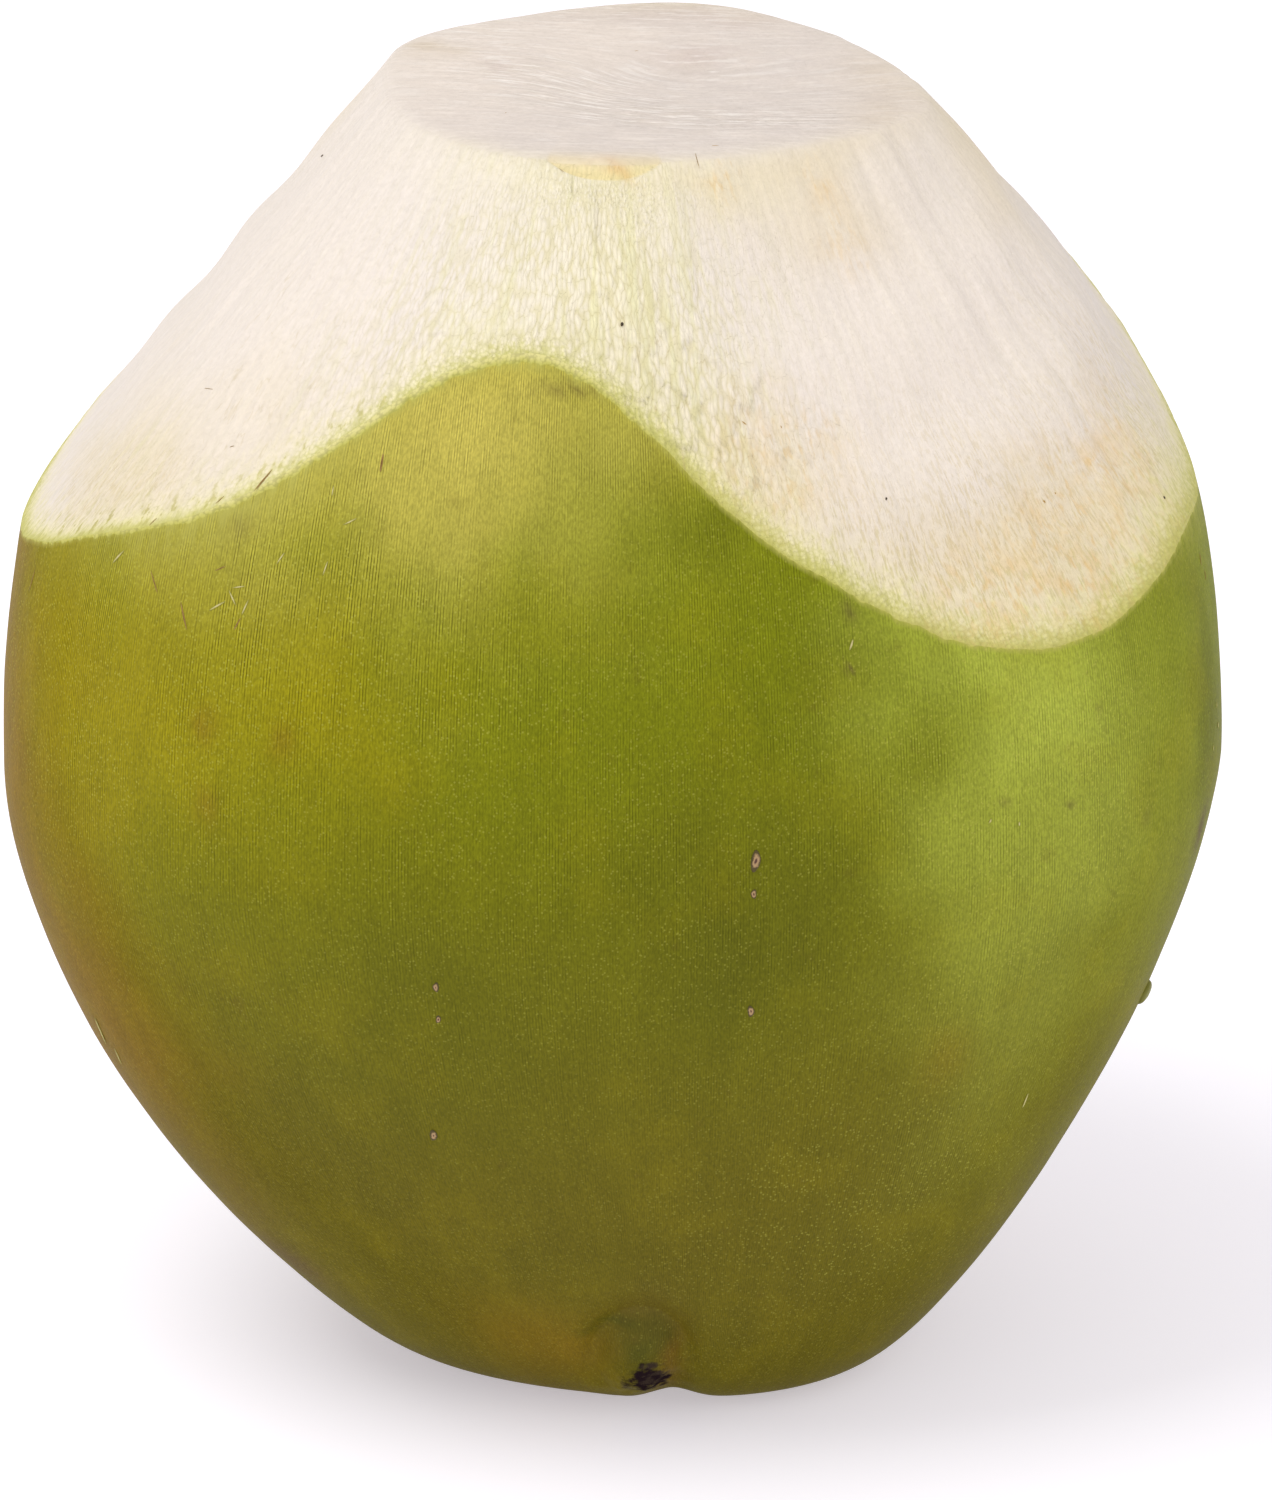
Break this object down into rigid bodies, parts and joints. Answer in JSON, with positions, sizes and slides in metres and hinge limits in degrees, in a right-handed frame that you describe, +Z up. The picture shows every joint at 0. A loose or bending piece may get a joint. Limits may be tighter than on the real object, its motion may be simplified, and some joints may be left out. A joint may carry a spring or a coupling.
{
  "type": "pared green coconut",
  "caption": "Young green coconut for drinking: the crown is pared to a blunt white cone with a flat top, still closed, and it stands on its lower end.",
  "frame": {"origin": "centre of the bounding box's bottom face, on the surface that the coconut stands on", "axes": "+Z up through the pared crown, -Y towards the front with the blossom tip, +X to the right as seen from the front"},
  "size_m": [0.163, 0.1528, 0.1756],
  "materials": {
    "green_skin": "satin",
    "pared_husk": "matte"
  },
  "bodies": {
    "root": {"coconut": "green_skin"}
  },
  "joints": []
}
